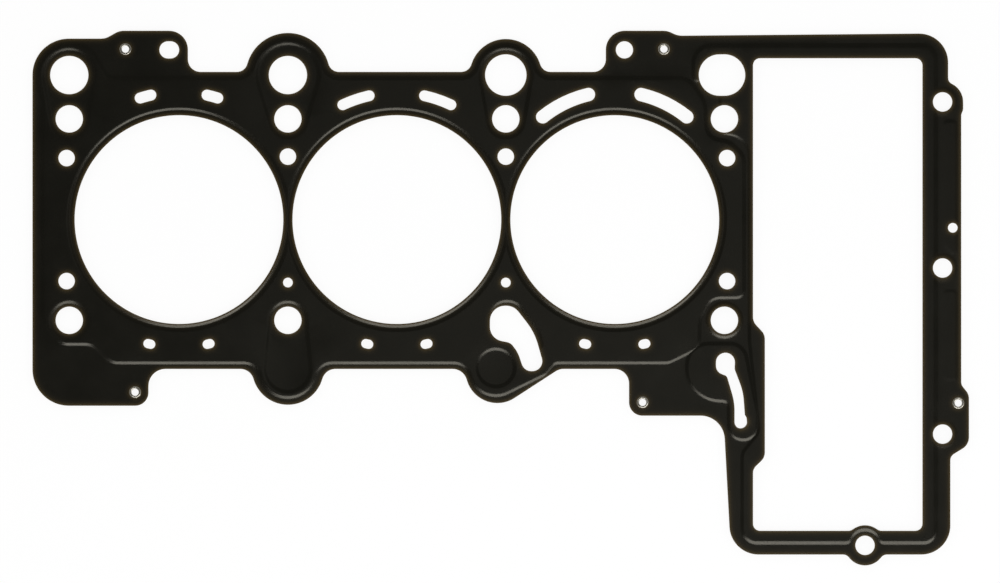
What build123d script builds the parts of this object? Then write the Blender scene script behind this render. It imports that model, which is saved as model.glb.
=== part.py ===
from build123d import *
from math import asin, atan, cos, degrees, hypot, radians, sin, tan
import os

os.makedirs("parts", exist_ok=True)

# Head gasket for one bank of three cylinders: a riveted stack of stamped steel layers.
# Lengths are in millimetres. X runs along the crankshaft, Y across the bank, Z up through
# the stack. The origin is on the middle cylinder's axis, on the underside of the gasket.

# Layer stack
layer_thickness = 0.25  # spring steel of each beaded layer
spacer_thickness = 0.4  # plain sheet between them
bead_height = 0.3  # step of the half beads, depth of the full beads
flank_width = 1.5  # slope of a half bead, seen from above
bore_flank = 1.6  # each slope of a full bead

# Cylinders
bore_spacing = 90.0
bore_radius = 43.1
bore_bead_radius = 44.9  # crest of the full bead round each cylinder
spacer_setback = 0.25  # the spacer's bores stand back behind the beads

# Head bolts and passages, in four columns between and beside the cylinders
end_column_out = 0.3  # the end columns stand this much further out than half a spacing
bolt_row = 41.6
bolt_radius = 5.65
water_row = 59.7
water_radius = 7.9
water_large_radius = 8.55
water_oval = 2.1  # the last water passage is this much longer than it is wide
drill_end_row = 25.4
drill_web_row = 26.0
drill_out = 1.1  # the end drillings stand this much outside their columns
drill_radius = 3.4
drill_small_radius = 2.0

# Slots round each cylinder, in pairs: rise of the arc's centre above the cylinder's axis,
# radius of the arc, angle from +Y, length along the arc, width
slots_first = (0.0, 52.7, 15.2, 4.6, 4.5)
slots_middle = (0.0, 52.4, 18.9, 11.6, 4.4)
slots_last = (5.4, 47.5, 26.0, 21.2, 5.5)
slots_below = (0.0, 52.8, 13.4, 1.2, 3.8)

# Dowels
dowel_spread = 188.0
dowel_row = 70.1
dowel_radius = 3.55
dowel_oval = 1.1

# Outer edges of the cylinder side
end_margin = 15.2  # from the first column to the left edge
corner_top = 74.75
corner_radius = 15.0
top_strip = 61.0
bottom_strip = -61.7
tab_top = 78.0
tab_beside_dowel = 7.7
tab_radius = 7.8
tab_foot = 5.2
lobe_wide = 17.4
lobe_narrow = 14.9
lobe_below = 14.8
lobe_foot = 4.4
lobe_below_foot = 5.6
boss_in = 3.5  # the boss stands this much before the third column
boss_radius = 13.1
boss_drop = 1.0  # its centre is this much below the bottom strip
boss_slope = 33.0  # degrees, its straight right flank
foot_width = 47.9
foot_bottom = -76.9
lug_before_column = 39.4
lug_bottom = -81.0
lug_radius = 5.5

# Frame round the timing chain
window_beyond_column = 11.8
window_width = 70.0
window_top = 66.65
window_height = 195.2
window_step = 4.9
window_corner = 2.9
frame_rail = 9.8  # width of the top and bottom rails
frame_top_lean = 0.5  # the top edge rises this much each way from its middle
frame_neck_width = 10.6  # right rail above the bolts, beside them and below them
frame_side_width = 16.0
frame_low_width = 11.5
frame_corner = 12.0
frame_bolt_in = 8.3
frame_bolt_y = 48.6
frame_bolt_spacing = 68.6
frame_bolt_radius = 4.0
frame_boss = 8.3
sump_bolt_share = 0.661  # of the window's width
sump_bolt_below = 6.0
vent_in = 12.5
vent_above_bolt = 16.6

# Half beads, measured to the middle of the slope
edge_land = 2.5
left_land = 4.2
bolt_land = 1.9
blind_radius = 7.75

# Eyelets that hold the layers together
eyelet_hole = 1.65
eyelet_wall = 0.35
eyelet_flange = 2.55
eyelet_roll = 0.27
eyelet_clearance = 0.05

step_height = layer_thickness + bead_height
upper_seat = step_height + spacer_thickness
half_flank = flank_width / 2
flank_angle = degrees(atan(flank_width / bead_height))

bore_centres = [(bore_spacing * i, 0) for i in (-1, 0, 1)]
column_2, column_3 = -bore_spacing / 2, bore_spacing / 2
column_1 = column_2 - bore_spacing - end_column_out
column_4 = column_3 + bore_spacing + end_column_out
dowel_left = -dowel_spread / 2
dowel_right = dowel_spread / 2

left_edge = column_1 - end_margin
foot_right = left_edge + foot_width
lug_left = column_4 - lug_before_column
boss_x = column_3 - boss_in
boss_y = bottom_strip - boss_drop

window_left = column_4 + window_beyond_column
window_right = window_left + window_width
window_bottom = window_top - window_height
frame_top = window_top + frame_rail
frame_bottom = window_bottom - frame_rail
frame_neck = window_right + frame_neck_width
frame_right = window_right + frame_side_width
frame_low_right = window_right + frame_low_width
frame_bolt_x = window_right + frame_bolt_in
frame_bolts = [(frame_bolt_x, frame_bolt_y - frame_bolt_spacing * i) for i in range(3)]
sump_bolt = (window_left + sump_bolt_share * window_width, window_bottom - sump_bolt_below)
vent = (window_right + vent_in, frame_bolts[1][1] + vent_above_bolt)
last_bolt_y = frame_bolts[2][1]

eyelets = {
    "eyelet_top_left": (dowel_left - 18.1, dowel_row + 0.3),
    "eyelet_top_right": (dowel_right + 16.3, dowel_row + 0.3),
    "eyelet_foot": (foot_right - 5.5, foot_bottom + 5.6),
    "eyelet_lug": (lug_left + 5.6, lug_bottom + 5.5),
    "eyelet_frame": (frame_right - 1.2, last_bolt_y + 12.8),
}


# Every outline is a list of corners (x, y, radius), listed clockwise


def placed(x, y, corners):
    """Corners that are measured from a point of the gasket."""
    return [(x + dx, y + dy, r) for dx, dy, r in corners]


def half_lobe(x, y, r, edge, foot, side, up):
    """Foot and crown corners of one half of a round lobe on a level edge."""
    lean = asin((up * (edge - y) + foot) / (r + foot))
    bend = tan((radians(90) - lean) / 2)
    return [
        (x + side * ((r + foot) * cos(lean) - foot * bend), edge, foot),
        (x + side * r * bend, y + up * r, r),
    ]


def lobe_up(x, y, r, edge, foot):
    """A lobe on a top edge, met from the left."""
    return half_lobe(x, y, r, edge, foot, -1, 1) + half_lobe(x, y, r, edge, foot, 1, 1)[::-1]


def lobe_down(x, y, r, edge, foot):
    """A lobe under a bottom edge, met from the right."""
    return half_lobe(x, y, r, edge, foot, 1, -1) + half_lobe(x, y, r, edge, foot, -1, -1)[::-1]


def sloped_half(x, y, r, edge, slope, foot):
    """Foot and crown of the half of a low lobe whose right side is a straight slope."""
    reach = (r - (y - edge) * cos(radians(slope))) / sin(radians(slope))
    return [(x + reach, edge, foot), (x + r * tan(radians(slope) / 2), y - r, r)]


def tapered_slot(x, top, top_radius, bottom, bottom_radius):
    """Corners of the outline drawn round two circles, one straight above the other."""
    lean = asin((top_radius - bottom_radius) / (top - bottom))
    wide = top_radius * tan((radians(90) + lean) / 2)
    narrow = bottom_radius * tan((radians(90) - lean) / 2)
    return [
        (x - wide, top + top_radius, top_radius),
        (x + wide, top + top_radius, top_radius),
        (x + narrow, bottom - bottom_radius, bottom_radius),
        (x - narrow, bottom - bottom_radius, bottom_radius),
    ]


def grown(corners, by):
    """The same outline with every side moved out by a distance."""
    result = []
    for i, (x, y, r) in enumerate(corners):
        x0, y0, _ = corners[i - 1]
        x1, y1, _ = corners[(i + 1) % len(corners)]
        a, b = hypot(x - x0, y - y0), hypot(x1 - x, y1 - y)
        ux, uy, vx, vy = (x - x0) / a, (y - y0) / a, (x1 - x) / b, (y1 - y) / b
        share = by / (1 + ux * vx + uy * vy)
        turn = ux * vy - uy * vx
        radius = max(r + by, 0.2) if turn < 0 else max(r - by, 0.2)
        result.append((x - share * (uy + vy), y + share * (ux + vx), radius))
    return result


def contour(corners):
    """The face inside an outline, looking up: straight sides joined by tangent arcs."""
    anticlockwise = corners[::-1]
    joints = []
    for i, (x, y, r) in enumerate(anticlockwise):
        here = Vector(x, y)
        back = (Vector(*anticlockwise[i - 1][:2]) - here).normalized()
        ahead = (Vector(*anticlockwise[(i + 1) % len(corners)][:2]) - here).normalized()
        half_angle = radians(back.get_angle(ahead)) / 2
        middle = here + (back + ahead).normalized() * (r / sin(half_angle) - r)
        cut = r / tan(half_angle)
        joints.append((here + back * cut, middle, here + ahead * cut))
    with BuildSketch(mode=Mode.PRIVATE) as flat:
        with BuildLine():
            for i, (start, middle, end) in enumerate(joints):
                if (start - joints[i - 1][2]).length > 0.01:
                    Line(joints[i - 1][2], start)
                ThreePointArc(start, middle, end)
        make_face()
    return flat.sketch


def arc_slots(x, up, rise, radius, angle, arc, width):
    """A pair of slots that follow an arc above or below a cylinder."""
    half = degrees(arc / radius / 2)
    with BuildSketch(mode=Mode.PRIVATE) as flat:
        for side in (-1, 1):
            with BuildLine(mode=Mode.PRIVATE) as path:
                CenterArc((x, up * rise), radius, up * 90 - side * angle - half, 2 * half)
            SlotArc(path.edge(), width)
    return flat.sketch


# Outline of the sheet, from its upper left corner
outline = [
    (left_edge, corner_top, corner_radius),
    (dowel_left - 26.4, corner_top, 7),
    (dowel_left - 20.6, tab_top, 7),
    (dowel_left + tab_beside_dowel, tab_top, tab_radius),
    (dowel_left + tab_beside_dowel, top_strip, tab_foot),
    *lobe_up(column_2, water_row, lobe_wide, top_strip, lobe_foot),
    *lobe_up(column_3, water_row, lobe_narrow, top_strip, lobe_foot),
    (dowel_right - tab_beside_dowel, top_strip, tab_foot),
    (dowel_right - tab_beside_dowel, tab_top, tab_radius),
    (dowel_right + 17.8, tab_top, 8),
    (dowel_right + 22.0, frame_top - frame_top_lean, 8),
    (frame_neck, frame_top + frame_top_lean, frame_corner),
    (frame_neck, frame_bolt_y + frame_boss, 2.5),
    (frame_right + 0.8, frame_bolt_y + 5.0, frame_boss),
    (frame_right + 0.8, frame_bolt_y - 3.4, 3),
    (frame_right, frame_bolt_y - 5.0, 3),
    (frame_right, last_bolt_y + 20.4, 3),
    (frame_right + 3.2, last_bolt_y + 16.4, 5),
    (frame_right + 3.2, last_bolt_y - 4.4, 5.5),
    (frame_low_right, last_bolt_y - 9.1, 3),
    (frame_low_right, frame_bottom, frame_corner),
    *lobe_down(*sump_bolt, frame_boss, frame_bottom, 3),
    (window_left - 9.1, frame_bottom, frame_corner),
    (window_left - 12.2, lug_bottom, 10),
    (lug_left, lug_bottom, lug_radius),
    (lug_left, bottom_strip, 6),
    *sloped_half(boss_x, boss_y, boss_radius, bottom_strip, boss_slope, 6),
    *half_lobe(boss_x, boss_y, boss_radius, bottom_strip, 6, -1, -1)[::-1],
    *lobe_down(column_2, bottom_strip, lobe_below, bottom_strip, lobe_below_foot),
    (foot_right, bottom_strip, 7),
    (foot_right, foot_bottom, lug_radius),
    (left_edge, foot_bottom, corner_radius),
]

chain_window = [
    (window_left, window_top, window_corner),
    (window_right, window_top, window_corner),
    (window_right, window_bottom, window_corner),
    *half_lobe(*sump_bolt, frame_boss, window_bottom, 3, 1, 1),
    *half_lobe(*sump_bolt, frame_boss, window_bottom, 3, -1, 1)[::-1],
    (window_left, window_bottom, window_corner),
    (window_left, window_bottom + 25.6, 4),
    (window_left + window_step, window_bottom + 30.3, 5),
    (window_left + window_step, -bolt_row - 5.8, 5),
    (window_left, -bolt_row - 0.6, 5),
]

# Oil return beside the third column's lower bolt, and the oil slot below the fourth's
oil_return = placed(column_3, -bolt_row, [
    (-6.5, 6.0, 6.2),
    (3.3, 6.0, 6.2),
    (11.8, -4.9, 25),
    (16.4, -21.0, 4.1),
    (7.6, -21.0, 4.1),
    (5.0, -13.3, 12),
    (2.0, -9.3, 4),
    (-6.6, -7.6, 6),
])
oil_slot = placed(column_4, -bolt_row, [
    (-3.5, -13.4, 3.9),
    (4.5, -13.4, 3.9),
    (4.2, -20.2, 2),
    (7.9, -29.4, 25),
    (9.6, -44.6, 2.6),
    (4.0, -44.6, 2.6),
    (4.2, -33.9, 25),
    (1.0, -23.0, 2),
    (-3.5, -21.3, 3.6),
])

# Raised fields, where the layer stands off the spacer; measured to the middle of the slope
land_top = top_strip - edge_land
land_bottom = bottom_strip + edge_land
chain_left = window_left - 1.5
chain_bottom = window_bottom - 5.0
water_right = window_left - 3.7
boss_bead = 11.0
water_field = [
    (left_edge + 2.1, corner_top - 2.1, corner_radius - 2.0),
    (column_1 + 7.8, corner_top - 2.1, 11),
    (column_1 + 16.3, land_top, 5),
    *lobe_up(column_2, water_row, lobe_wide - edge_land, land_top, lobe_foot + edge_land),
    *lobe_up(column_3, water_row, lobe_narrow - edge_land, land_top, lobe_foot + edge_land),
    (column_4 - 14.9, land_top, 8),
    (column_4 - 7.9, 48.5, 12),
    (column_4 - 7.4, 33.8, 6),
    (column_4 + 1.7, 32.3, 8),
    (water_right, 26.5, 7),
    (water_right, -32.2, 3),
    (column_4 - 5.5, -32.4, 6),
    (column_4 - 10.3, -41.5, 12),
    (column_4 - 10.3, -53.0, 5),
    (column_4 - 23.0, land_bottom, 6),
    (boss_x + 23.8, land_bottom, 3),
    (boss_x + 19.8, bottom_strip - 2.3, 5),
    (boss_x - 0.6 + boss_bead * tan(radians(26.7) / 2), bottom_strip - boss_bead, boss_bead),
    *half_lobe(boss_x - 0.6, bottom_strip, boss_bead, land_bottom, 7, -1, -1)[::-1],
    *lobe_down(column_2, bottom_strip, lobe_below - 3.0, land_bottom, 7),
    (column_1 + 17.3, land_bottom, 7),
    (column_1 + 9.3, -51.5, 7),
    (column_1 - 3.3, -51.5, 5),
    (left_edge + left_land, -41.0, 8),
    (left_edge + left_land, 49.5, 6),
    (left_edge + 2.1, 56.0, 6),
]
chain_field = [
    (column_4 - 12.9, frame_top - 4.5, 7.5),
    (window_right + 5.5, frame_top - 4.5, 5.5),
    (window_right + 5.5, chain_bottom, 5.0),
    *half_lobe(*sump_bolt, 6.4, chain_bottom, 2, 1, 1),
    *half_lobe(*sump_bolt, 6.4, chain_bottom, 2, -1, 1)[::-1],
    (window_left - 4.5, chain_bottom, 6),
    (window_left - 4.5, -96.4, 5),
    (window_left + 2.5, -87.7, 5),
    (chain_left, -50.0, 15),
    (chain_left, 33.4, 9),
    (column_4 - 1.8, 36.0, 2),
    (column_4 - 1.8, 56.4, 1),
    (column_4 - 12.9, 57.4, 2),
]
oil_field = placed(column_4, -bolt_row, [
    (-15.0, -9.6, 9),
    (8.0, -9.6, 7),
    (13.8, -38.4, 12),
    (13.6, -49.4, 4.5),
    (1.1, -49.4, 4.5),
    (0.9, -33.2, 2.5),
    (-8.5, -32.6, 6),
    (-15.0, -22.0, 8),
])
panel_left = frame_bolt_x + 0.5
panel_right = frame_right - 1.9
edge_panels = [
    [
        (panel_left, frame_bolt_y - 8.0, 1.5),
        (panel_right, frame_bolt_y - 8.0, 1.5),
        (panel_right, vent[1] - 12.6, 1.5),
        (panel_left, vent[1] - 7.2, 1.5),
    ],
    [
        (panel_left, frame_bolts[1][1] - 9.4, 1.5),
        (panel_right, frame_bolts[1][1] - 9.4, 1.5),
        (panel_right, last_bolt_y + 22.4, 1.5),
        (panel_left, last_bolt_y + 22.4, 1.5),
    ],
]
bolt_rings = [(column_4, -bolt_row, bolt_radius + 1.4)]
bolt_rings += [(x, y, frame_bolt_radius + 1.4) for x, y in frame_bolts]

# Pockets pressed back down onto the spacer, round the bolts that stand in a raised field
bolt_pocket = bolt_radius + bolt_land
pockets = [
    tapered_slot(column_1, water_row, water_radius + 2.8, bolt_row, bolt_pocket),
    tapered_slot(column_2, water_row, water_radius + 5.0, bolt_row, bolt_pocket),
    tapered_slot(column_3, water_row, water_large_radius + 2.1, bolt_row, bolt_pocket),
    tapered_slot(column_2, -bolt_row, bolt_pocket, bottom_strip, lobe_below - 5.4),
    placed(column_3, -bolt_row, [
        (-7.4, 7.9, 7.0),
        (4.4, 7.9, 7.4),
        (13.6, -4.6, 12),
        (15.4, -12.2, 1.2),
        (1.0, -4.4, 3),
        (-6.4, -2.4, 3),
    ]),
]
round_pockets = [
    (column_1, -bolt_row, bolt_pocket),
    (boss_x - 0.6, bottom_strip + 0.5, blind_radius),
]

# Plan of one layer: the outline and every opening that goes through all three layers
with BuildSketch() as openings:
    with Locations(*[(x, bolt_row) for x in (column_1, column_2, column_3, column_4)]):
        Circle(bolt_radius)
    with Locations(*[(x, -bolt_row) for x in (column_1, column_2, column_4)]):
        Circle(bolt_radius)
    with Locations((column_1, water_row), (column_2, water_row)):
        Circle(water_radius)
    with Locations((column_3, water_row)):
        Circle(water_large_radius)
    with Locations((column_4 - 1.0, water_row)):
        SlotOverall(2 * water_large_radius + water_oval, 2 * water_large_radius)
    for row in (drill_end_row, -drill_end_row):
        with Locations((column_1 - drill_out, row), (column_4 + drill_out, row)):
            Circle(drill_radius)
    with Locations((column_2, drill_web_row), (column_3, drill_web_row)):
        Circle(drill_radius)
    with Locations((column_2, -drill_web_row), (column_3, -drill_web_row)):
        Circle(drill_small_radius)
    with Locations((dowel_left, dowel_row)):
        SlotOverall(2 * dowel_radius + dowel_oval, 2 * dowel_radius)
    with Locations((dowel_right, dowel_row)):
        Circle(dowel_radius)
    with Locations(*frame_bolts, sump_bolt):
        Circle(frame_bolt_radius)
    with Locations(vent):
        Circle(drill_small_radius)
    with Locations(*eyelets.values()):
        Circle(eyelet_hole + eyelet_wall + eyelet_clearance)
    for (x, _), slots in zip(bore_centres, (slots_first, slots_middle, slots_last)):
        add(arc_slots(x, 1, *slots))
        add(arc_slots(x, -1, *slots_below))
    add(contour(chain_window))
    add(contour(oil_return))
    add(contour(oil_slot))


def layer_plan(cylinder_radius):
    """Plan of one layer, with its own radius for the cylinder openings."""
    with BuildSketch(mode=Mode.PRIVATE) as plan:
        add(contour(outline))
        add(openings.sketch, mode=Mode.SUBTRACT)
        with Locations(*bore_centres):
            Circle(cylinder_radius, mode=Mode.SUBTRACT)
    return plan.sketch


# Press form: a block whose top is the top skin of a beaded layer that stands on z = 0
with BuildPart() as press_form:
    with BuildSketch(Plane.XY.offset(-1)):
        with Locations((bore_spacing / 2, -bore_spacing / 3)):
            Rectangle(5 * bore_spacing, 3 * bore_spacing)
    extrude(amount=1 + layer_thickness)
    for field in (water_field, chain_field, oil_field, *edge_panels):
        with BuildSketch(Plane.XY.offset(layer_thickness)):
            add(contour(grown(field, half_flank)))
        extrude(amount=bead_height, taper=flank_angle)
    for x, y, r in bolt_rings:
        with Locations((x, y, layer_thickness + bead_height / 2)):
            Cone(r + half_flank, r - half_flank, bead_height)
    for pocket in pockets:
        rim = contour(grown(pocket, half_flank))
        plug = extrude(rim, amount=bead_height, taper=flank_angle, mode=Mode.PRIVATE)
        with Locations((0, 0, step_height)):
            add(mirror(plug, about=Plane.XY, mode=Mode.PRIVATE), mode=Mode.SUBTRACT)
    for x, y, r in round_pockets:
        with Locations((x, y, layer_thickness + bead_height / 2)):
            Cone(r - half_flank, r + half_flank, bead_height, mode=Mode.SUBTRACT)

# Full bead round each cylinder: a V groove turned about its axis
with BuildPart() as bore_groove:
    with BuildSketch(Plane.XZ):
        with BuildLine():
            Polyline(
                (bore_bead_radius - bore_flank, step_height),
                (bore_bead_radius, layer_thickness),
                (bore_bead_radius + bore_flank, step_height),
                close=True,
            )
        make_face()
    revolve(axis=Axis.Z)

# Skin: the press form less the same form one sheet thickness lower
with BuildPart() as pressed_sheet:
    add(press_form.part)
    with Locations(*bore_centres):
        add(bore_groove.part, mode=Mode.SUBTRACT)
    add(pressed_sheet.part.moved(Location((0, 0, -layer_thickness))), mode=Mode.SUBTRACT)

# Beaded layer, blanked out of the pressed sheet, standing on z = 0
with BuildPart() as beaded_layer:
    with BuildSketch():
        add(layer_plan(bore_radius))
    extrude(amount=step_height + 1)
    add(pressed_sheet.part, mode=Mode.INTERSECT)

# The upper layer lies on the spacer, and the lower one is its mirror image under it
with BuildPart() as upper_layer:
    with Locations((0, 0, upper_seat)):
        add(beaded_layer.part)

with BuildPart() as centre_spacer:
    with BuildSketch(Plane.XY.offset(step_height)):
        add(layer_plan(bore_radius + spacer_setback))
    extrude(amount=spacer_thickness)

with BuildPart() as lower_layer:
    with Locations((0, 0, step_height)):
        add(mirror(beaded_layer.part, about=Plane.XY, mode=Mode.PRIVATE))

# Eyelets: a tube through the flat lands of all three layers, rolled over at both ends
shank_radius = eyelet_hole + eyelet_wall
grip_bottom = step_height - layer_thickness
grip_top = upper_seat + layer_thickness
with BuildPart() as eyelet:
    with BuildSketch(Plane.XZ):
        with BuildLine():
            Line((eyelet_hole, grip_bottom), (eyelet_hole, grip_top))
            ThreePointArc(
                (eyelet_hole, grip_top),
                ((eyelet_hole + eyelet_flange) / 2, grip_top + eyelet_roll),
                (eyelet_flange, grip_top),
            )
            Polyline(
                (eyelet_flange, grip_top),
                (shank_radius, grip_top),
                (shank_radius, grip_bottom),
                (eyelet_flange, grip_bottom),
            )
            ThreePointArc(
                (eyelet_flange, grip_bottom),
                ((eyelet_hole + eyelet_flange) / 2, grip_bottom - eyelet_roll),
                (eyelet_hole, grip_bottom),
            )
        make_face()
    revolve(axis=Axis.Z)

for name, layer in (
    ("upper_layer", upper_layer),
    ("centre_spacer", centre_spacer),
    ("lower_layer", lower_layer),
):
    layer.part.label = name
    export_step(layer.part, f"parts/{name}.step")

for name, place in eyelets.items():
    with BuildPart() as set_eyelet:
        with Locations(place):
            add(eyelet.part)
    set_eyelet.part.label = name
    export_step(set_eyelet.part, f"parts/{name}.step")
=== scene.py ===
import math

import bpy
import numpy as np
from mathutils.geometry import delaunay_2d_cdt
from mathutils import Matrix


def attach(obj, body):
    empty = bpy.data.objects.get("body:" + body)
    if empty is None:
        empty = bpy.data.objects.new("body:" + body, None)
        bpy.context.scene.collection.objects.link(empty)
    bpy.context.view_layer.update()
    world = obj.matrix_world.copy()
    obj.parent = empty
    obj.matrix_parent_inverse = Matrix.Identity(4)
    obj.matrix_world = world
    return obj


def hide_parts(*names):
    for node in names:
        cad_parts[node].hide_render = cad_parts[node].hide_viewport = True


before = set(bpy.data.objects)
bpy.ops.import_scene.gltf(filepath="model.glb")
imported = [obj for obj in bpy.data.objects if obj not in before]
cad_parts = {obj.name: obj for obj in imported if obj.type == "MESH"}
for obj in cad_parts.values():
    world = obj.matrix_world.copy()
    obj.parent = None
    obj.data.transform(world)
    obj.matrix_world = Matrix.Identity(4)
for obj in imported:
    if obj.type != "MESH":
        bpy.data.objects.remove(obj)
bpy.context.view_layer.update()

# Every shape below is worked out in millimetres and turned to metres when its mesh is made.
mm = 0.001


def linear(code):
    # sRGB hex to linear: (c / 12.92) near black, else ((c + 0.055) / 1.055) ^ 2.4
    c = np.array([int(code[i:i + 2], 16) for i in (0, 2, 4)]) / 255
    return (*np.where(c <= 0.04045, c / 12.92, ((c + 0.055) / 1.055) ** 2.4), 1.0)


def addNode(tree, kind, settings={}, inputs={}):
    # One node: its own properties, then its sockets, each a value or another node's output
    node = tree.nodes.new(kind)
    for key, value in settings.items():
        setattr(node, key, value)
    for key, value in inputs.items():
        if isinstance(value, bpy.types.NodeSocket):
            tree.links.new(value, node.inputs[key])
        else:
            node.inputs[key].default_value = value
    return node


def newMaterial(name):
    # A material with an empty node tree, and the tree
    material = bpy.data.materials.new(name)
    material.use_nodes = True
    material.node_tree.nodes.clear()
    return material, material.node_tree


# An outline is a list of corners (x, y, radius), listed clockwise.

def placed(x, y, corners):
    # The same corners about another origin: (x, y) is added to each
    return [(x + dx, y + dy, r) for dx, dy, r in corners]


def halfLobe(x, y, r, edge, foot, side, up):
    # Foot and crown of half a round lobe on a level edge: two circles that touch each other
    lean = math.asin((up * (edge - y) + foot) / (r + foot))
    bend = math.tan((math.pi / 2 - lean) / 2)
    return [
        (x + side * ((r + foot) * math.cos(lean) - foot * bend), edge, foot),
        (x + side * r * bend, y + up * r, r),
    ]


def lobe(x, y, r, edge, foot, up):
    # A half lobe and its mirror image, joined at the crown
    halves = halfLobe(x, y, r, edge, foot, -up, up), halfLobe(x, y, r, edge, foot, up, up)
    return halves[0] + halves[1][::-1]


def slopedHalf(x, y, r, edge, slope, foot):
    # The half of a low lobe whose side is a straight slope
    a = math.radians(slope)
    reach = (r - (y - edge) * math.cos(a)) / math.sin(a)
    return [(x + reach, edge, foot), (x + r * math.tan(a / 2), y - r, r)]


def taperedSlot(x, top, topRadius, bottom, bottomRadius):
    # The line drawn round two circles, one straight above the other
    lean = math.asin((topRadius - bottomRadius) / (top - bottom))
    wide = topRadius * math.tan((math.pi / 2 + lean) / 2)
    narrow = bottomRadius * math.tan((math.pi / 2 - lean) / 2)
    return [
        (x - wide, top + topRadius, topRadius),
        (x + wide, top + topRadius, topRadius),
        (x + narrow, bottom - bottomRadius, bottomRadius),
        (x - narrow, bottom - bottomRadius, bottomRadius),
    ]


def grown(corners, by):
    # Each side moves out by a distance: a corner moves along the sum of its sides' normals
    c = np.array(corners, float)
    back, ahead = c - np.roll(c, 1, 0), np.roll(c, -1, 0) - c
    u = back[:, :2] / np.hypot(back[:, 0], back[:, 1])[:, None]
    v = ahead[:, :2] / np.hypot(ahead[:, 0], ahead[:, 1])[:, None]
    share = by / (1 + (u * v).sum(1))
    turn = u[:, 0] * v[:, 1] - u[:, 1] * v[:, 0]
    x = c[:, 0] - share * (u[:, 1] + v[:, 1])
    y = c[:, 1] + share * (u[:, 0] + v[:, 0])
    return np.stack([x, y, np.maximum(c[:, 2] - np.sign(turn) * by, 0.1)], 1)


def evenly(points, step):
    # A closed line of even steps: each point found at its share of the line's length
    closed = np.vstack([points, points[:1]])
    run = np.concatenate([[0], np.cumsum(np.hypot(*np.diff(closed, axis=0).T))])
    at = np.linspace(0, run[-1], max(16, int(run[-1] / step)) + 1)[:-1]
    return np.stack([np.interp(at, run, closed[:, 0]), np.interp(at, run, closed[:, 1])], 1)


def rounded(corners, step):
    # Each corner becomes an arc: a turn from one tangent point to the other about its centre
    c = np.array(corners, float)
    p, r = c[:, :2], c[:, 2:]
    u, v = np.roll(p, 1, 0) - p, np.roll(p, -1, 0) - p
    u /= np.hypot(u[:, 0], u[:, 1])[:, None]
    v /= np.hypot(v[:, 0], v[:, 1])[:, None]
    half = np.arccos(np.clip((u * v).sum(1), -1, 1))[:, None] / 2
    centre = p + (u + v) / np.hypot(*(u + v).T)[:, None] * r / np.sin(half)
    a, b = p + u * r / np.tan(half) - centre, p + v * r / np.tan(half) - centre
    whole = math.pi - 2 * half
    t = np.linspace(0, 1, 25)[None, :]
    first, second = np.sin((1 - t) * whole) / np.sin(whole), np.sin(t * whole) / np.sin(whole)
    arcs = centre[:, None] + first[:, :, None] * a[:, None] + second[:, :, None] * b[:, None]
    return evenly(arcs.reshape(-1, 2), step)


def ring(x, y, r, step):
    # A circle: centre plus radius times (cos, sin), at even angles
    a = np.linspace(0, 2 * math.pi, max(24, int(2 * math.pi * r / step)) + 1)[:-1]
    return np.stack([x + r * np.cos(a), y + r * np.sin(a)], 1)


def capsule(x, y, length, width, step):
    # A slot with round ends: a circle whose halves are pushed apart
    a = np.linspace(-math.pi / 2, 1.5 * math.pi, 65)
    shift = np.where(np.cos(a) >= 0, 0.5, -0.5) * (length - width)
    points = np.stack([x + shift + width / 2 * np.cos(a), y + width / 2 * np.sin(a)], 1)
    return evenly(points, step)


def curvedSlot(x, y, radius, angle, arc, width, step):
    # The same with its middle line bent along an arc about (x, y)
    along, across = capsule(0, 0, arc + width, width, 0.2).T
    turn = math.radians(angle) - along / radius
    line = np.stack([np.cos(turn), np.sin(turn)], 1) * (radius + across)[:, None]
    return evenly(line + (x, y), step)


def signedDistance(points, line):
    # To the nearest of the line's segments; negative inside, where a ray to +X crosses it an
    # odd number of times. Points far from the line keep a large distance.
    result = np.full(len(points), 1e3)
    low, high = line.min(0) - 3, line.max(0) + 3
    near = np.where(((points > low) & (points < high)).all(1))[0]
    a, b = line, np.roll(line, -1, 0)
    d = b - a
    for part in np.array_split(near, max(1, len(near) // 3000)):
        q = points[part][:, None]
        w = q - a[None]
        t = np.clip((w * d).sum(2) / (d * d).sum(1), 0, 1)
        gap = np.hypot(w[..., 0] - t * d[:, 0], w[..., 1] - t * d[:, 1]).min(1)
        level = (a[:, 1] > q[..., 1]) != (b[:, 1] > q[..., 1])
        slope = np.where(np.abs(d[:, 1]) > 1e-9, d[:, 0] / np.where(d[:, 1] == 0, 1, d[:, 1]), 0)
        crossed = level & (q[..., 0] < a[:, 0] + (q[..., 1] - a[:, 1]) * slope)
        result[part] = np.where(crossed.sum(1) % 2 == 1, -gap, gap)
    return result


layerValues = {
    "thickness": 0.25,
    "beadHeight": 0.3,
    "flank": 2.0,  # width of a half bead's slope, with its bends
    "upperSeat": 0.95,  # height of the face that bears on the spacer
    "lowerSeat": 0.55,
    "boreBead": 44.95,  # crest of the full bead round each cylinder
    "boreBeadIn": 1.6,  # width of its slope towards the cylinder
    "boreBeadOut": 1.5,
    "dieRoll": 0.035,  # how far a sheared edge is drawn down
    "dieRollWidth": 0.55,
    "dieRollLine": 0.45,  # share of that width at which a line holds its bend
    "step": 0.95,  # between the points along a line
    "slopeLines": (-0.5, -0.33, -0.17, 0, 0.17, 0.33, 0.5),  # shares of a slope's width
    "beside": (1.2, 2.2, 3.6),  # distances of spare lines from the sheared edges
    "besideStep": 1.5,
    "margin": 0.1,  # inner lines keep this far from the sheared edges
    "ringShare": 0.4,  # of the bead height, in the rings round the frame's bolts
    "panelShare": 0.35,  # the same, in the panels on the frame's side
}

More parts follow.
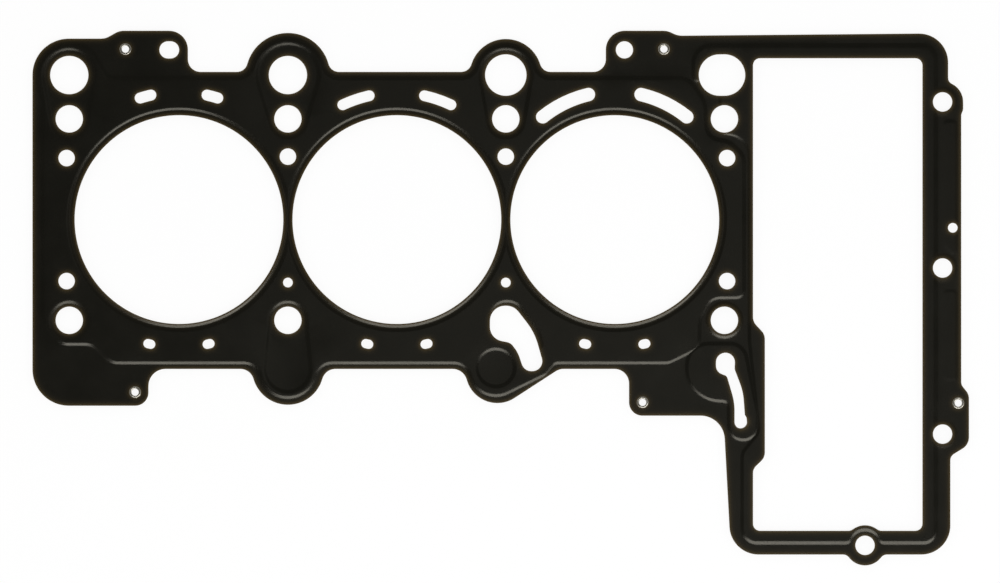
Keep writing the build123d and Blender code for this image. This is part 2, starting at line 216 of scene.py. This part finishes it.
bore, row, water = 43.1, 41.6, 59.7
bores = [-90.0, 0.0, 90.0]
columns = [-135.3, -45.0, 45.0, 135.3]
dowels, dowelRow = [-94.0, 94.0], 70.1
leftEdge, topStrip, bottomStrip = -150.5, 61.0, -61.7
footRight, lugLeft = -102.6, 95.9
bossX, bossY = 41.5, -62.7
windowLeft, windowRight, windowTop, windowBottom = 147.1, 217.1, 66.65, -128.55
frameTop, frameBottom, frameNeck, frameRight, frameLow = 76.45, -138.35, 227.7, 233.1, 228.6
frameBolts = [(225.4, 48.6), (225.4, -20.0), (225.4, -88.6)]
sumpBolt, vent = (193.37, -134.55), (229.6, -3.4)
eyeletPlaces = {
    "eyelet_top_left": (-112.1, 70.4),
    "eyelet_top_right": (110.3, 70.4),
    "eyelet_foot": (-108.1, -71.3),
    "eyelet_lug": (101.5, -75.5),
    "eyelet_frame": (231.9, -75.8),
}

outline = [
    (leftEdge, 74.75, 15),
    (dowels[0] - 26.4, 74.75, 7),
    (dowels[0] - 20.6, 78.0, 7),
    (dowels[0] + 7.7, 78.0, 7.8),
    (dowels[0] + 7.7, topStrip, 5.2),
    *lobe(columns[1], water, 17.4, topStrip, 4.4, 1),
    *lobe(columns[2], water, 14.9, topStrip, 4.4, 1),
    (dowels[1] - 7.7, topStrip, 5.2),
    (dowels[1] - 7.7, 78.0, 7.8),
    (dowels[1] + 17.8, 78.0, 8),
    (dowels[1] + 22.0, frameTop - 0.5, 8),
    (frameNeck, frameTop + 0.5, 12),
    (frameNeck, 56.9, 2.5),
    (frameRight + 0.8, 53.6, 8.3),
    (frameRight + 0.8, 45.2, 3),
    (frameRight, 43.6, 3),
    (frameRight, -68.2, 3),
    (frameRight + 3.2, -72.2, 5),
    (frameRight + 3.2, -93.0, 5.5),
    (frameLow, -97.7, 3),
    (frameLow, frameBottom, 12),
    *lobe(*sumpBolt, 8.3, frameBottom, 3, -1),
    (windowLeft - 9.1, frameBottom, 12),
    (windowLeft - 12.2, -81.0, 10),
    (lugLeft, -81.0, 5.5),
    (lugLeft, bottomStrip, 6),
    *slopedHalf(bossX, bossY, 13.1, bottomStrip, 33, 6),
    *halfLobe(bossX, bossY, 13.1, bottomStrip, 6, -1, -1)[::-1],
    *lobe(columns[1], bottomStrip, 14.8, bottomStrip, 5.6, -1),
    (footRight, bottomStrip, 7),
    (footRight, -76.9, 5.5),
    (leftEdge, -76.9, 15),
]

chainWindow = [
    (windowLeft, windowTop, 2.9),
    (windowRight, windowTop, 2.9),
    (windowRight, windowBottom, 2.9),
    *halfLobe(*sumpBolt, 8.3, windowBottom, 3, 1, 1),
    *halfLobe(*sumpBolt, 8.3, windowBottom, 3, -1, 1)[::-1],
    (windowLeft, windowBottom, 2.9),
    (windowLeft, windowBottom + 25.6, 4),
    (windowLeft + 4.9, windowBottom + 30.3, 5),
    (windowLeft + 4.9, -row - 5.8, 5),
    (windowLeft, -row - 0.6, 5),
]

oilReturn = placed(columns[2], -row, [
    (-6.5, 6.0, 6.2), (3.3, 6.0, 6.2), (11.8, -4.9, 25), (16.4, -21.0, 4.1),
    (7.6, -21.0, 4.1), (5.0, -13.3, 12), (2.0, -9.3, 4), (-6.6, -7.6, 6),
])

oilSlot = placed(columns[3], -row, [
    (-3.5, -13.4, 3.9), (4.5, -13.4, 3.9), (4.2, -20.2, 2), (7.7, -29.4, 25),
    (8.45, -39.2, 0.8), (9.65, -40.9, 1.6), (9.65, -44.75, 2.7), (4.15, -44.75, 2.7),
    (4.2, -33.9, 25), (1.0, -23.0, 2), (-3.5, -21.3, 3.6),
])

# Raised fields, each line being the middle of its slope
landTop, landBottom = topStrip - 2.5, bottomStrip + 2.5
waterField = [
    (leftEdge + 2.1, 72.65, 13),
    (columns[0] + 7.8, 72.65, 11),
    (columns[0] + 16.3, landTop, 5),
    *lobe(columns[1], water, 14.9, landTop, 6.9, 1),
    *lobe(columns[2], water, 12.4, landTop, 6.9, 1),
    (columns[3] - 14.9, landTop, 8),
    (columns[3] - 7.9, 48.5, 12),
    (columns[3] - 7.4, 33.8, 6),
    (columns[3] + 1.7, 32.3, 8),
    (windowLeft - 3.7, 26.5, 7),
    (windowLeft - 3.7, -32.2, 3),
    (columns[3] - 5.5, -32.4, 6),
    (columns[3] - 10.3, -41.5, 12),
    (columns[3] - 10.3, -53.0, 5),
    (columns[3] - 23.0, landBottom, 6),
    (bossX + 23.8, landBottom, 3),
    (bossX + 19.8, bottomStrip - 2.3, 5),
    (bossX - 0.6 + 11 * math.tan(math.radians(26.7) / 2), bottomStrip - 11, 11),
    *halfLobe(bossX - 0.6, bottomStrip, 11, landBottom, 7, -1, -1)[::-1],
    *lobe(columns[1], bottomStrip, 11.8, landBottom, 7, -1),
    (columns[0] + 17.3, landBottom, 7),
    (columns[0] + 9.3, -51.5, 7),
    (columns[0] - 3.3, -51.5, 5),
    (leftEdge + 4.2, -41.0, 8),
    (leftEdge + 4.2, 49.5, 6),
    (leftEdge + 2.1, 56.0, 6),
]

chainLeft, chainBottom = windowLeft - 1.5, windowBottom - 5
chainField = [
    (columns[3] - 12.9, frameTop - 4.5, 7.5),
    (windowRight + 5.5, frameTop - 4.5, 5.5),
    (windowRight + 5.5, chainBottom, 5),
    *halfLobe(*sumpBolt, 6.4, chainBottom, 2, 1, 1),
    *halfLobe(*sumpBolt, 6.4, chainBottom, 2, -1, 1)[::-1],
    (windowLeft - 4.5, chainBottom, 6),
    (windowLeft - 4.5, -96.4, 5),
    (windowLeft + 2.5, -87.7, 5),
    (chainLeft, -50.0, 15),
    (chainLeft, 33.4, 9),
    (columns[3] - 1.8, 36.0, 2),
    (columns[3] - 1.8, 56.4, 1),
    (columns[3] - 12.9, 57.4, 2),
]

oilField = placed(columns[3], -row, [
    (-15.4, -9.6, 9), (8.0, -9.6, 7), (13.8, -38.4, 12), (13.4, -49.4, 5.7),
    (1.9, -49.4, 5.7), (1.6, -33.6, 2.2), (-7.6, -32.9, 14), (-15.6, -25.6, 12),
])

panelLeft, panelRight = frameBolts[0][0] + 0.5, frameRight - 1.9
edgePanels = [
    [
        (panelLeft, 40.6, 1.5), (panelRight, 40.6, 1.5),
        (panelRight, vent[1] - 12.6, 1.5), (panelLeft, vent[1] - 7.2, 1.5),
    ],
    [
        (panelLeft, -29.4, 1.5), (panelRight, -29.4, 1.5),
        (panelRight, -66.2, 1.5), (panelLeft, -66.2, 1.5),
    ],
]

# Pockets pressed back down round the bolts that stand in a raised field
pocket = 7.55
pockets = [
    taperedSlot(columns[0], water, 10.7, row, pocket),
    taperedSlot(columns[1], water, 12.9, row, pocket),
    taperedSlot(columns[2], water, 10.65, row, pocket),
    taperedSlot(columns[1], -row, pocket, bottomStrip, 9.4),
    placed(columns[2], -row, [
        (-7.4, 7.9, 7.0), (4.4, 7.9, 7.4), (13.6, -4.6, 12),
        (15.4, -12.2, 1.2), (1.0, -4.4, 3), (-6.4, -2.4, 3),
    ]),
]

# Centre, radius and share of the bead height
raisedRings = [(columns[3], -row, 7.05, 1.0)]
raisedRings += [(x, y, 5.4, layerValues["ringShare"]) for x, y in frameBolts]
sunkRings = [(columns[0], -row, pocket), (bossX - 0.6, bottomStrip + 0.5, 7.75)]

openingValues = {  # radii
    "bolt": 5.65,
    "water": 7.9,
    "waterLarge": 8.55,
    "drilling": 3.4,
    "drillingSmall": 2.0,
    "dowel": 3.55,
    "vent": 2.0,
    "frameBolt": 4.0,
    "eyelet": 2.05,
}

v = openingValues
holes = [(x, row, v["bolt"]) for x in columns]
holes += [(x, -row, v["bolt"]) for x in (columns[0], columns[1], columns[3])]
holes += [(x, water, v["water"]) for x in columns[:2]] + [(columns[2], water, v["waterLarge"])]
holes += [(side * 136.4, y, v["drilling"]) for side in (-1, 1) for y in (25.4, -25.4)]
holes += [(x, 26.0, v["drilling"]) for x in columns[1:3]]
holes += [(x, -26.0, v["drillingSmall"]) for x in columns[1:3]]
holes += [(dowels[1], dowelRow, v["dowel"]), (*vent, v["vent"])]
holes += [(x, y, v["frameBolt"]) for x, y in [*frameBolts, sumpBolt]]
holes += [(x, y, v["eyelet"]) for x, y in eyeletPlaces.values()]
holes += [(x, 0.0, bore) for x in bores]
longHoles = [(columns[3] - 1.0, water, 19.2, 17.1), (dowels[0], dowelRow, 8.2, 7.1)]

# Slots: arc's centre, radius, angle from +Y, length of the arc, width
slots = []
for x, rise, radius, angle, arc, width in (
    (-90.0, 0.0, 52.7, 15.2, 4.6, 4.5),
    (0.0, 0.0, 52.4, 18.9, 11.6, 4.4),
    (90.0, 5.4, 47.5, 26.0, 21.2, 5.5),
):
    slots += [(x, rise, radius, 90 - side * angle, arc, width) for side in (-1, 1)]
    slots += [(x, 0.0, 52.8, -90 - side * 13.4, 1.2, 3.8) for side in (-1, 1)]


def edgeLines(out, step):
    # The outline drawn in by a distance, and every opening drawn out by it
    lines = [rounded(grown(outline, -out), step)]
    lines += [rounded(grown(c, out), step) for c in (chainWindow, oilReturn, oilSlot)]
    lines += [ring(x, y, r + out, min(step, 0.12 * r + 0.3)) for x, y, r in holes]
    lines += [capsule(x, y, a + 2 * out, b + 2 * out, step) for x, y, a, b in longHoles]
    lines += [
        curvedSlot(x, y, r, angle, arc, width + 2 * out, 0.6)
        for x, y, r, angle, arc, width in slots
    ]
    return lines


def smoothStep(s):
    # 3 s^2 - 2 s^3, level at both ends
    s = np.clip(s, 0, 1)
    return s * s * (3 - 2 * s)


def beadLevel(points):
    # 1 on a raised field and 0 on the low lands: each slope is a smooth step across its
    # line. Fields and rings join by the larger value, pockets and beads cut by the smaller.
    width = layerValues["flank"]
    level = np.zeros(len(points))
    fields = [(corners, 1.0) for corners in (waterField, chainField, oilField)]
    for corners, share in fields + [(c, layerValues["panelShare"]) for c in edgePanels]:
        near = signedDistance(points, rounded(corners, 0.5))
        level = np.maximum(level, share * smoothStep(0.5 - near / width))
    for corners in pockets:
        near = signedDistance(points, rounded(corners, 0.5))
        level = np.minimum(level, smoothStep(0.5 + near / width))
    for x, y, r in sunkRings:
        near = np.hypot(points[:, 0] - x, points[:, 1] - y) - r
        level = np.minimum(level, smoothStep(0.5 + near / width))
    for x, y, r, share in raisedRings:
        near = np.hypot(points[:, 0] - x, points[:, 1] - y) - r
        level = np.maximum(level, share * smoothStep(0.5 - near / width))
    for x in bores:
        near = np.hypot(points[:, 0] - x, points[:, 1]) - layerValues["boreBead"]
        side = np.where(near < 0, layerValues["boreBeadIn"], layerValues["boreBeadOut"])
        across = np.clip(np.abs(near) / side, 0, 1)
        level = np.minimum(level, 1 - np.cos(across * math.pi / 2) ** 2)
    return level


def pressedPlan():
    # Points and triangles of a layer in plan. Lines that run beside the edges and up each
    # slope are held by a constrained triangulation, so that no triangle cuts a bend.
    v = layerValues
    step, margin = v["step"], v["margin"]
    lines = edgeLines(0, step)
    edgeCount = len(lines)
    lines += edgeLines(v["dieRollWidth"] * v["dieRollLine"], step)
    lines += edgeLines(v["dieRollWidth"], step)
    for out in v["beside"]:
        lines += edgeLines(out, v["besideStep"])
    besideCount = len(lines)
    for share in v["slopeLines"]:
        by = share * v["flank"]
        for corners in (waterField, chainField, oilField, *edgePanels, *pockets):
            lines.append(rounded(grown(corners, by), step))
        for x, y, r, *_ in raisedRings + sunkRings:
            lines.append(ring(x, y, r + by, step))
        for x in bores:
            side = v["boreBeadIn" if share < 0 else "boreBeadOut"]
            lines.append(ring(x, 0.0, v["boreBead"] + 2 * share * side, step))
    border = lines[:edgeCount]
    # Parts of the inner lines that fall outside the sheet are left out, and so are parts of
    # the lines beside the edges that lie on a slope, where they would cut its own lines
    points, edges, start = [], [], 0
    for i, line in enumerate(lines):
        kept = np.ones(len(line), bool)
        if i >= edgeCount:
            kept = signedDistance(line, border[0]) < -margin
            for hole in border[1:]:
                kept &= signedDistance(line, hole) > margin
        if edgeCount <= i < besideCount:
            level = beadLevel(line)
            kept &= np.abs(level - np.round(level)) < 0.002
        number = np.cumsum(kept) - 1 + start
        both = kept & np.roll(kept, -1)
        edges.append(np.stack([number, np.roll(number, -1)], 1)[both])
        points.append(line[kept])
        start += kept.sum()
    points, edges = np.vstack(points), np.vstack(edges)
    flat, _, faces, *_ = delaunay_2d_cdt(points.tolist(), edges.tolist(), [], 0, 1e-4, False)
    flat, faces = np.array(flat), np.array(faces)
    middle = flat[faces].mean(1)
    inside = signedDistance(middle, border[0]) < 0
    for hole in border[1:]:
        inside &= signedDistance(middle, hole) > 0
    faces = faces[inside]
    used, index = np.unique(faces, return_inverse=True)
    flat, faces = flat[used], index.reshape(faces.shape)
    a, b, c = flat[faces[:, 0]], flat[faces[:, 1]], flat[faces[:, 2]]
    cross = (b - a)[:, 0] * (c - a)[:, 1] - (b - a)[:, 1] * (c - a)[:, 0]
    faces[cross < 0] = faces[cross < 0][:, ::-1]
    edge = np.full(len(flat), 1e3)
    for line in border:
        edge = np.minimum(edge, np.abs(signedDistance(flat, line)))
    return flat, faces, edge


def levelSlope(points, level):
    # How steeply the bead level rises to +X and +Y at the points that lie on a slope: the
    # difference of the levels a little to each side
    slope = np.zeros((len(points), 2))
    aside = 0.03
    on = np.where((level > 1e-4) & (level < 1 - 1e-4))[0]
    for axis in range(2):
        off = np.zeros(2)
        off[axis] = aside
        rise = beadLevel(points[on] + off) - beadLevel(points[on] - off)
        slope[on, axis] = rise / (2 * aside)
    return slope


def meshObject(name, points, faces, sharp, attributes={}):
    # Points in mm, a list of arrays of triangles or quads, and the edges that stay sharp. An
    # edge is known by one number: its lower end times the count of points, plus the higher.
    mesh = bpy.data.meshes.new(name)
    mesh.vertices.add(len(points))
    mesh.vertices.foreach_set("co", (points * mm).astype(np.float32).ravel())
    sizes = np.concatenate([np.full(len(f), f.shape[1]) for f in faces])
    mesh.loops.add(int(sizes.sum()))
    mesh.loops.foreach_set("vertex_index", np.concatenate([f.ravel() for f in faces]))
    mesh.polygons.add(len(sizes))
    mesh.polygons.foreach_set("loop_start", np.concatenate([[0], np.cumsum(sizes)[:-1]]))
    mesh.polygons.foreach_set("use_smooth", np.ones(len(sizes), bool))
    mesh.update(calc_edges=True)
    for key, values in attributes.items():
        mesh.attributes.new(key, "FLOAT", "POINT").data.foreach_set("value", values)
    ends = np.empty(len(mesh.edges) * 2, np.int32)
    mesh.edges.foreach_get("vertices", ends)
    ends, sharp = np.sort(ends.reshape(-1, 2), 1), np.sort(sharp, 1)
    flags = np.isin(ends @ (len(points), 1), sharp @ (len(points), 1))
    mesh.attributes.new("sharp_edge", "BOOLEAN", "EDGE").data.foreach_set("value", flags)
    item = bpy.data.objects.new(name, mesh)
    bpy.context.scene.collection.objects.link(item)
    return item


def pressedLayer(name, plan, level, slope, seat, up):
    # Two skins one sheet thickness apart, joined by the sheared edge's wall; the lower
    # layer is the upper one turned over
    flat, faces, edge = plan
    roll = np.clip(1 - edge / layerValues["dieRollWidth"], 0, 1) ** 2
    inner = seat + up * layerValues["beadHeight"] * level
    outer = inner + up * (layerValues["thickness"] - layerValues["dieRoll"] * roll)
    n = len(flat)
    points = np.vstack([np.column_stack([flat, outer]), np.column_stack([flat, inner])])
    # The rim's edges are those that only one triangle has
    directed = np.vstack([faces[:, [0, 1]], faces[:, [1, 2]], faces[:, [2, 0]]])
    _, first, count = np.unique(
        np.sort(directed, 1), axis=0, return_index=True, return_counts=True)
    rim = directed[first[count == 1]]
    walls = np.column_stack([rim[:, 1], rim[:, 0], rim[:, 0] + n, rim[:, 1] + n])
    skins = np.vstack([faces, faces[:, ::-1] + n])
    if up < 0:
        walls, skins = walls[:, ::-1], skins[:, ::-1]
    # Distance to the sheared edge, which the coating uses for its painted edge glow
    glowDistance = np.concatenate([edge, edge])
    item = meshObject(name, points, [skins, walls], np.vstack([rim, rim + n]), {"edge": glowDistance})
    # On the slopes the shading follows the true form, not the triangles that stand for it
    corners = np.empty(len(item.data.loops) * 3, np.float32)
    item.data.corner_normals.foreach_get("vector", corners)
    corners = corners.reshape(-1, 3)
    true = np.column_stack([-up * layerValues["beadHeight"] * slope, np.ones(n)])
    true *= up / np.linalg.norm(true, axis=1)[:, None]
    true = np.vstack([true, -true])
    on = (slope != 0).any(1) & (edge > layerValues["dieRollWidth"])
    at = skins.ravel()
    chosen = np.where(np.concatenate([on, on])[at])[0]
    corners[chosen] = true[at[chosen]]
    item.data.normals_split_custom_set(corners.tolist())
    print(name, len(skins) + 2 * len(walls), "triangles")
    return item


coatingValues = {
    "colour": "0d0d09",
    "light": "13120d",  # where the film is thinner
    "edge": "54462a",  # painted warm glow along the sheared edges, standing in for light from behind
    "edgeGlowReach": 0.62,  # mm from the edge in which that painted glow falls to a third
    "sheen": "fffaea",  # the cured film's faint olive tint
    "roughness": 0.21,
    "grain": 0.35,  # mm, the cured film's fine texture
    "cloud": 14.0,  # mm, patches where the film is thicker or thinner
    "peelDepth": 0.02,  # mm
    "peelStrength": 0.05,
}


def rubberCoatedSteel():
    # Spring steel with a roller-coated nitrile film, cured: near black, satin, with a faint
    # orange-peel and slow cloudy changes of gloss, and a painted warm glow along its sheared
    # edges
    v = coatingValues
    material, tree = newMaterial("Nitrile-coated spring steel")
    place = addNode(tree, "ShaderNodeTexCoord").outputs["Object"]
    cloud = addNode(tree, "ShaderNodeTexNoise", {}, {
        "Vector": place, "Scale": 1 / (v["cloud"] * mm), "Detail": 4, "Roughness": 0.6})
    grain = addNode(tree, "ShaderNodeTexNoise", {}, {
        "Vector": place, "Scale": 1 / (v["grain"] * mm), "Detail": 2, "Roughness": 0.5})
    # Painted glow: the film turns warm brown near each sheared edge, standing in for light from
    # behind
    near = addNode(tree, "ShaderNodeAttribute", {"attribute_name": "edge"})
    depth = addNode(tree, "ShaderNodeMath", {"operation": "DIVIDE"}, {
        0: near.outputs["Fac"], 1: -v["edgeGlowReach"]})
    rim = addNode(tree, "ShaderNodeMath", {"operation": "EXPONENT"}, {0: depth.outputs[0]})
    film = addNode(tree, "ShaderNodeMix", {"data_type": "RGBA"}, {
        "Factor": cloud.outputs["Fac"], "A": linear(v["colour"]), "B": linear(v["light"])})
    colour = addNode(tree, "ShaderNodeMix", {"data_type": "RGBA"}, {
        "Factor": rim.outputs[0], "A": film.outputs["Result"],
        "B": linear(v["edge"])})
    gloss = addNode(tree, "ShaderNodeMapRange", {}, {
        "Value": cloud.outputs["Fac"], "From Min": 0.3, "From Max": 0.7,
        "To Min": v["roughness"] - 0.02, "To Max": v["roughness"] + 0.03})
    peel = addNode(tree, "ShaderNodeBump", {}, {
        "Strength": v["peelStrength"], "Distance": v["peelDepth"] * mm,
        "Height": grain.outputs["Fac"]})
    shader = addNode(tree, "ShaderNodeBsdfPrincipled", {}, {
        "Base Color": colour.outputs["Result"], "Roughness": gloss.outputs["Result"],
        "Normal": peel.outputs["Normal"], "IOR": 1.5, "Specular Tint": linear(v["sheen"])})
    addNode(tree, "ShaderNodeOutputMaterial", {}, {"Surface": shader.outputs[0]})
    return material


spacerValues = {
    "dark": "6b5c4a",
    "bright": "8d8172",
    "roughness": 0.38,
    "lineLength": 30.0,  # mm, of a rolling line, and its width
    "lineWidth": 0.6,
}


def rolledSteel():
    # Bare cold-rolled sheet between the coated ones: a dull grey-brown with rolling lines
    v = spacerValues
    width = 1 / (v["lineWidth"] * mm)
    material, tree = newMaterial("Cold-rolled steel")
    place = addNode(tree, "ShaderNodeTexCoord").outputs["Object"]
    along = addNode(tree, "ShaderNodeMapping", {}, {
        "Vector": place, "Scale": (1 / (v["lineLength"] * mm), width, width)})
    lines = addNode(tree, "ShaderNodeTexNoise", {}, {
        "Vector": along.outputs["Vector"], "Scale": 1.0, "Detail": 3})
    colour = addNode(tree, "ShaderNodeMix", {"data_type": "RGBA"}, {
        "Factor": lines.outputs["Fac"], "A": linear(v["dark"]), "B": linear(v["bright"])})
    shader = addNode(tree, "ShaderNodeBsdfPrincipled", {}, {
        "Base Color": colour.outputs["Result"], "Metallic": 1.0,
        "Roughness": v["roughness"]})
    addNode(tree, "ShaderNodeOutputMaterial", {}, {"Surface": shader.outputs[0]})
    return material


tinValues = {
    "dark": "bdb8aa",
    "bright": "dcd8cb",
    "roughness": (0.2, 0.26),
    "marks": 2.0,  # mm, the unevenness that rolling over leaves
    "dentDepth": 0.03,  # mm
    "dentStrength": 0.05,
}


def tinnedSteel():
    # Bright tin plate on the eyelets, with the faint unevenness that rolling over leaves
    v = tinValues
    material, tree = newMaterial("Tin-plated steel")
    place = addNode(tree, "ShaderNodeTexCoord").outputs["Object"]
    marks = addNode(tree, "ShaderNodeTexNoise", {}, {
        "Vector": place, "Scale": 1 / (v["marks"] * mm), "Detail": 3})
    colour = addNode(tree, "ShaderNodeMix", {"data_type": "RGBA"}, {
        "Factor": marks.outputs["Fac"], "A": linear(v["dark"]), "B": linear(v["bright"])})
    gloss = addNode(tree, "ShaderNodeMapRange", {}, {
        "Value": marks.outputs["Fac"], "From Min": 0.3, "From Max": 0.7,
        "To Min": v["roughness"][0], "To Max": v["roughness"][1]})
    dents = addNode(tree, "ShaderNodeBump", {}, {
        "Strength": v["dentStrength"], "Distance": v["dentDepth"] * mm,
        "Height": marks.outputs["Fac"]})
    shader = addNode(tree, "ShaderNodeBsdfPrincipled", {}, {
        "Base Color": colour.outputs["Result"], "Metallic": 1.0,
        "Roughness": gloss.outputs["Result"], "Normal": dents.outputs["Normal"]})
    addNode(tree, "ShaderNodeOutputMaterial", {}, {"Surface": shader.outputs[0]})
    return material


coated, rolled, tinned = rubberCoatedSteel(), rolledSteel(), tinnedSteel()

plan = pressedPlan()
level = beadLevel(plan[0])
slope = levelSlope(plan[0], level)
print("layer plan done,", len(plan[1]), "triangles in plan")
for node, seat, up in (("upper_layer", "upperSeat", 1), ("lower_layer", "lowerSeat", -1)):
    layer = pressedLayer("pressed_" + node, plan, level, slope, layerValues[seat], up)
    layer.data.materials.append(coated)
    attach(layer, "root")
    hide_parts(node)

spacer = bpy.data.objects["centre_spacer"]
for slot in spacer.material_slots:
    slot.material = rolled
print("layers done")

eyeletValues = {
    "hole": 1.45,
    "wall": 0.35,
    "flange": 2.4,
    "roll": 0.29,  # height of the rolled rim
    "bottom": 0.3,
    "top": 1.2,
    "around": 96,
    "across": 20,
}


def rolledEyelet(name, x, y):
    # A closed profile turned about its axis: up the inside of the tube, over the rolled rim
    # as half an ellipse, back along the shank and over the lower rim
    v = eyeletValues
    middle, reach = (v["hole"] + v["flange"]) / 2, (v["flange"] - v["hole"]) / 2
    t = np.linspace(math.pi, 0, v["across"])
    rimR, rimZ = middle + reach * np.cos(t), v["roll"] * np.sin(t)
    shank = v["hole"] + v["wall"]
    r = np.concatenate([rimR, [shank, shank], rimR[::-1]])
    z = np.concatenate([v["top"] + rimZ, [v["top"], v["bottom"]], v["bottom"] - rimZ[::-1]])
    a = np.linspace(0, 2 * math.pi, v["around"] + 1)[:-1]
    points = np.stack([
        x + r[:, None] * np.cos(a), y + r[:, None] * np.sin(a), z[:, None] + 0 * a], 2)
    i, j = np.meshgrid(np.arange(len(r)), np.arange(len(a)), indexing="ij")
    nextI, nextJ = (i + 1) % len(r), (j + 1) % len(a)
    n = len(a)
    quads = np.stack([i * n + j, i * n + nextJ, nextI * n + nextJ, nextI * n + j], 2)
    corner = [v["across"] - 1, v["across"], v["across"] + 1, v["across"] + 2, 0, len(r) - 1]
    rings = [np.stack([k * n + j[0], k * n + nextJ[0]], 1) for k in corner]
    return meshObject(
        name, points.reshape(-1, 3), [quads.reshape(-1, 4)], np.vstack(rings))


for node, (x, y) in eyeletPlaces.items():
    eyelet = rolledEyelet("rolled_" + node, x, y)
    eyelet.data.materials.append(tinned)
    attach(eyelet, "root")
    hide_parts(node)
print("eyelets done")


studioValues = {
    "lampStrength": 4.75,  # radiance, so a 4% reflection of it is a mid grey
    "lampSize": (2.4, 0.6),
    "lampReach": 1.9,
    "lampTilt": 26,  # degrees off straight overhead, towards -Y
    "lampAside": 0.75,
    "patchStrength": 0.17,
    "patchSize": (0.44, 0.44),
    "patchReach": 1.2,
    "patchPlace": (0.14, -0.11),
    "ceiling": 0.075,
    "backdrop": 2.0,
    "backdropEdge": (0.35, 0.65),  # sine of the height at which it fades into the ceiling
    "mirroredBackdrop": 0.65,  # as the sheet mirrors it, behind grey flags
    "frameWidth": 413.1,  # mm across the picture
    "frameCentre": (42.6, -29.7),
    "distance": 6.0,
    "clipEnd": 50.0,
    "sensor": 36.0,  # mm
}

floorValues = {
    "half": 4.0,
    "board": "e6e6e6",
    "shade": 0.12,  # how much of the shadow shows on the lifted board
    "lift": 0.9,
}


def paleFloor():
    # Matte white board; where it is seen it is lifted to white and keeps a soft shadow
    v = floorValues
    material, tree = newMaterial("Matte white board")
    path = addNode(tree, "ShaderNodeLightPath")
    seen = addNode(tree, "ShaderNodeMath", {"operation": "MAXIMUM"}, {
        0: path.outputs["Is Camera Ray"], 1: path.outputs["Is Glossy Ray"]})
    seen = addNode(tree, "ShaderNodeMath", {"operation": "MAXIMUM"}, {
        0: seen.outputs[0], 1: path.outputs["Is Transmission Ray"]})
    board = addNode(tree, "ShaderNodeBsdfDiffuse", {}, {"Color": linear(v["board"])})
    shade = addNode(tree, "ShaderNodeBsdfDiffuse", {}, {"Color": (*[v["shade"]] * 3, 1)})
    lift = addNode(tree, "ShaderNodeEmission", {}, {
        "Color": (1, 1, 1, 1), "Strength": v["lift"]})
    both = addNode(tree, "ShaderNodeAddShader", {}, {
        0: shade.outputs[0], 1: lift.outputs[0]})
    final = addNode(tree, "ShaderNodeMixShader", {}, {
        0: seen.outputs[0], 1: board.outputs[0], 2: both.outputs[0]})
    addNode(tree, "ShaderNodeOutputMaterial", {}, {"Surface": final.outputs[0]})
    return material


half = floorValues["half"]
board = bpy.data.meshes.new("floor")
board.from_pydata([(-half, -half, 0), (half, -half, 0), (half, half, 0), (-half, half, 0)],
                  [], [(0, 1, 2, 3)])
floor = bpy.data.objects.new("floor", board)
bpy.context.scene.collection.objects.link(floor)
floor.data.materials.append(paleFloor())

# World: a white backdrop round the horizon and a dim ceiling
world = bpy.data.worlds.new("studio")
bpy.context.scene.world = world
world.use_nodes = True
tree = world.node_tree
tree.nodes.clear()
aim = addNode(tree, "ShaderNodeTexCoord").outputs["Generated"]
height = addNode(tree, "ShaderNodeSeparateXYZ", {}, {"Vector": aim}).outputs["Z"]
mirrored = addNode(tree, "ShaderNodeLightPath").outputs["Is Glossy Ray"]
low = addNode(tree, "ShaderNodeMath", {"operation": "MULTIPLY_ADD"}, {
    0: mirrored, 1: studioValues["mirroredBackdrop"] - studioValues["backdrop"],
    2: studioValues["backdrop"]})
share = addNode(tree, "ShaderNodeMapRange", {"interpolation_type": "SMOOTHSTEP"}, {
    "Value": height, "From Min": studioValues["backdropEdge"][0],
    "From Max": studioValues["backdropEdge"][1],
    "To Min": low.outputs[0], "To Max": studioValues["ceiling"]})
sky = addNode(tree, "ShaderNodeBackground", {}, {
    "Color": (1, 1, 1, 1), "Strength": share.outputs["Result"]})
addNode(tree, "ShaderNodeOutputWorld", {}, {"Surface": sky.outputs[0]})

centreX, centreY = (c * mm for c in studioValues["frameCentre"])


def softbox(name, strength, size, reach, tilt, x, y):
    # Watts are radiance times pi times area; the tilt is off straight overhead, towards -Y
    lamp = bpy.data.lights.new(name, "AREA")
    lamp.shape = "RECTANGLE"
    lamp.size, lamp.size_y = size
    lamp.energy = strength * math.pi * size[0] * size[1]
    item = bpy.data.objects.new(name, lamp)
    a = math.radians(tilt)
    item.location = (x, y - reach * math.sin(a), reach * math.cos(a))
    item.rotation_euler = (-a, 0, 0)
    bpy.context.scene.collection.objects.link(item)


v = studioValues
softbox("main_softbox", v["lampStrength"], v["lampSize"], v["lampReach"], v["lampTilt"],
        centreX + v["lampAside"], centreY)
# A dim light straight above: level sheet mirrors it, and the slopes of the beads don't
softbox("overhead_softbox", v["patchStrength"], v["patchSize"], v["patchReach"], 0,
        *v["patchPlace"])

# The lens that shows the frame's width: sensor times distance over width
camera = bpy.data.objects.new("camera", bpy.data.cameras.new("camera"))
camera.data.sensor_width = v["sensor"]
camera.data.lens = v["sensor"] * v["distance"] / (v["frameWidth"] * mm)
camera.data.clip_end = v["clipEnd"]
camera.location = (centreX, centreY, v["distance"])
bpy.context.scene.collection.objects.link(camera)
bpy.context.scene.camera = camera
bpy.context.scene.view_settings.view_transform = "Standard"
print("stage done")
